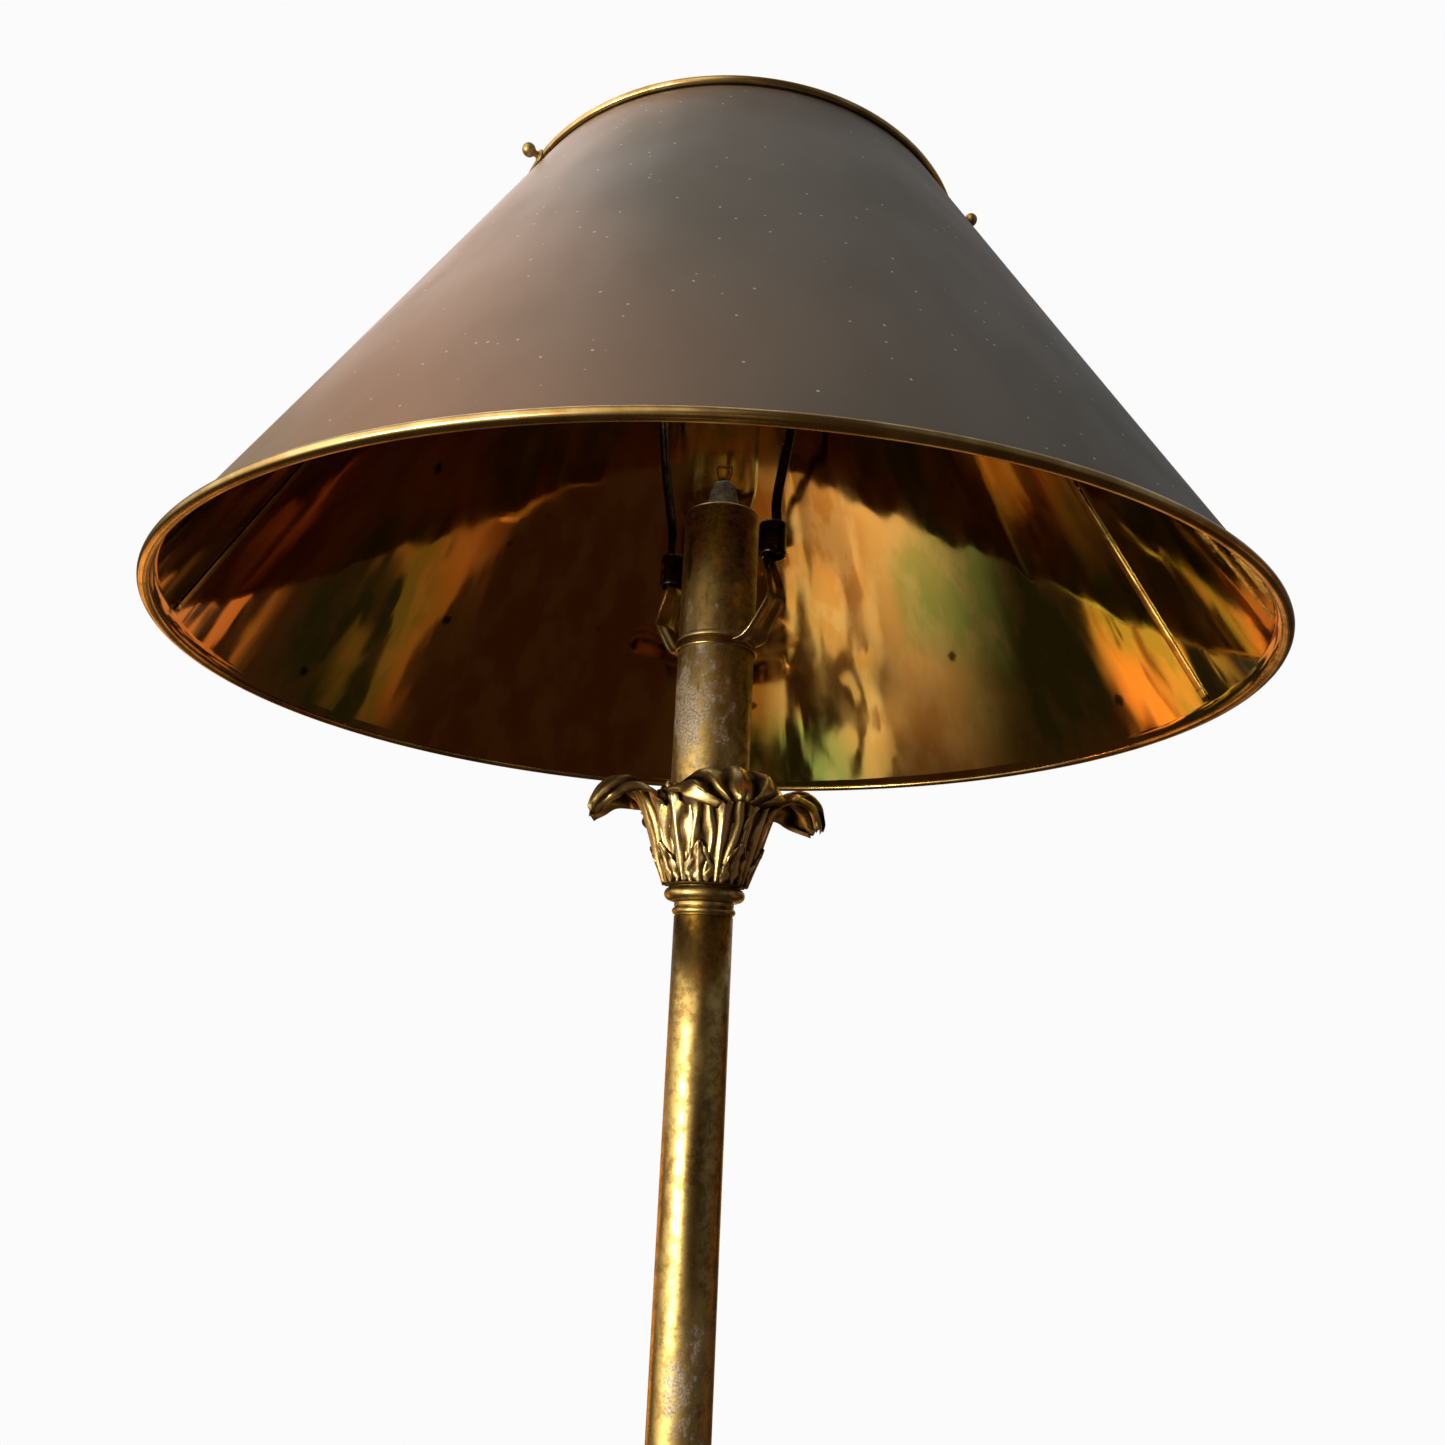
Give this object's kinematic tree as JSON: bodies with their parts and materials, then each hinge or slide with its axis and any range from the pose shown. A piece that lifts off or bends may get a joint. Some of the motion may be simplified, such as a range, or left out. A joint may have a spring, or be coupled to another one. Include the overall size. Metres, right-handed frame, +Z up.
{
  "type": "column floor lamp",
  "caption": "Brass column floor lamp with a round weighted base, cast leaf capital, harp, bulb holder and a painted metal cone shade with a bright brass inside.",
  "frame": {"origin": "on the floor, under the middle of the base", "axes": "+Z up along the column, -Y towards the front of the lamp, +X to the right seen from the front"},
  "size_m": [0.4626, 0.4634, 1.4621],
  "materials": {
    "antique_brass": "satin antique brass with brown patina",
    "cast_brass": "cast, dark in the hollows and rubbed bright on the ridges",
    "polished_brass": "bright lacquered brass",
    "painted_shade": "satin warm grey paint outside, bright lacquered brass inside",
    "steel": "zinc plated",
    "iron": "rough as cast",
    "rubber": "matt black",
    "felt": "dark green wool felt",
    "black_steel": "dark bronzed steel",
    "phenolic": "moulded phenolic",
    "glass": "clear",
    "tungsten": "drawn wire"
  },
  "bodies": {
    "column": {"base_shell": "antique_brass", "base_weight": "iron", "base_felt": "felt", "base_washer": "steel", "base_nut": "steel", "cord_grommet": "rubber", "stem_foot": "antique_brass", "stem_tube": "antique_brass", "stem_collar": "antique_brass", "capital_ring": "cast_brass", "leaf_capital": "cast_brass", "upper_tube": "antique_brass", "tube_bushing": "antique_brass", "lamp_pipe": "steel", "harp_saddle": "polished_brass", "saddle_nut": "steel", "harp_bow": "black_steel", "harp_stud": "polished_brass", "socket_bushing": "antique_brass", "socket_body": "phenolic", "terminal_screw_left": "polished_brass", "terminal_screw_right": "polished_brass", "socket_shell": "polished_brass", "socket_contact": "polished_brass", "socket_sleeve": "antique_brass", "finial_washer": "antique_brass"},
    "shade": {"shade_cone": "painted_shade", "shade_rim": "polished_brass", "shade_bead": "polished_brass", "shade_seam_left": "polished_brass", "shade_seam_right": "polished_brass", "shade_spider": "antique_brass"},
    "left_ball_screw": {"ball_screw_left": "antique_brass"},
    "right_ball_screw": {"ball_screw_right": "antique_brass"},
    "rear_ball_screw": {"ball_screw_rear": "antique_brass"},
    "right_ferrule": {"harp_ferrule_right": "black_steel"},
    "left_ferrule": {"harp_ferrule_left": "black_steel"},
    "bulb": {"bulb_cap": "steel", "bulb_insulator": "phenolic", "bulb_contact": "steel", "bulb_envelope": "glass", "bulb_mount": "glass", "bulb_filament": "tungsten"},
    "switch": {"switch_key": "polished_brass"},
    "finial": {"finial": "polished_brass"}
  },
  "joints": [
    {"name": "shade_swivel", "type": "hinge", "parent": "column", "child": "shade", "pos_m": [0, 0, 1.42], "axis": [0, 0, 1], "continuous": true},
    {"name": "finial_turn", "type": "hinge", "parent": "column", "child": "finial", "pos_m": [0, 0, 1.4281], "axis": [0, 0, 1], "continuous": true},
    {"name": "bulb_turn", "type": "hinge", "parent": "column", "child": "bulb", "pos_m": [0, 0, 1.241], "axis": [0, 0, 1], "continuous": true},
    {"name": "switch_turn", "type": "hinge", "parent": "column", "child": "switch", "pos_m": [0, 0.03, 1.23425], "axis": [0, 1, 0], "continuous": true},
    {"name": "right_ferrule_slide", "type": "slide", "parent": "column", "child": "right_ferrule", "axis": [0, 0, 1], "range_m": [0, 0.012]},
    {"name": "left_ferrule_slide", "type": "slide", "parent": "column", "child": "left_ferrule", "axis": [0, 0, 1], "range_m": [0, 0.012]},
    {"name": "left_ball_screw_turn", "type": "hinge", "parent": "shade", "child": "left_ball_screw", "pos_m": [-0.08668, -0.06772, 1.42], "axis": [-0.788, -0.6157, 0], "continuous": true},
    {"name": "right_ball_screw_turn", "type": "hinge", "parent": "shade", "child": "right_ball_screw", "pos_m": [0.10199, -0.04121, 1.42], "axis": [0.9272, -0.3746, 0], "continuous": true},
    {"name": "rear_ball_screw_turn", "type": "hinge", "parent": "shade", "child": "rear_ball_screw", "pos_m": [-0.01531, 0.10893, 1.42], "axis": [-0.1392, 0.9903, 0], "continuous": true}
  ]
}
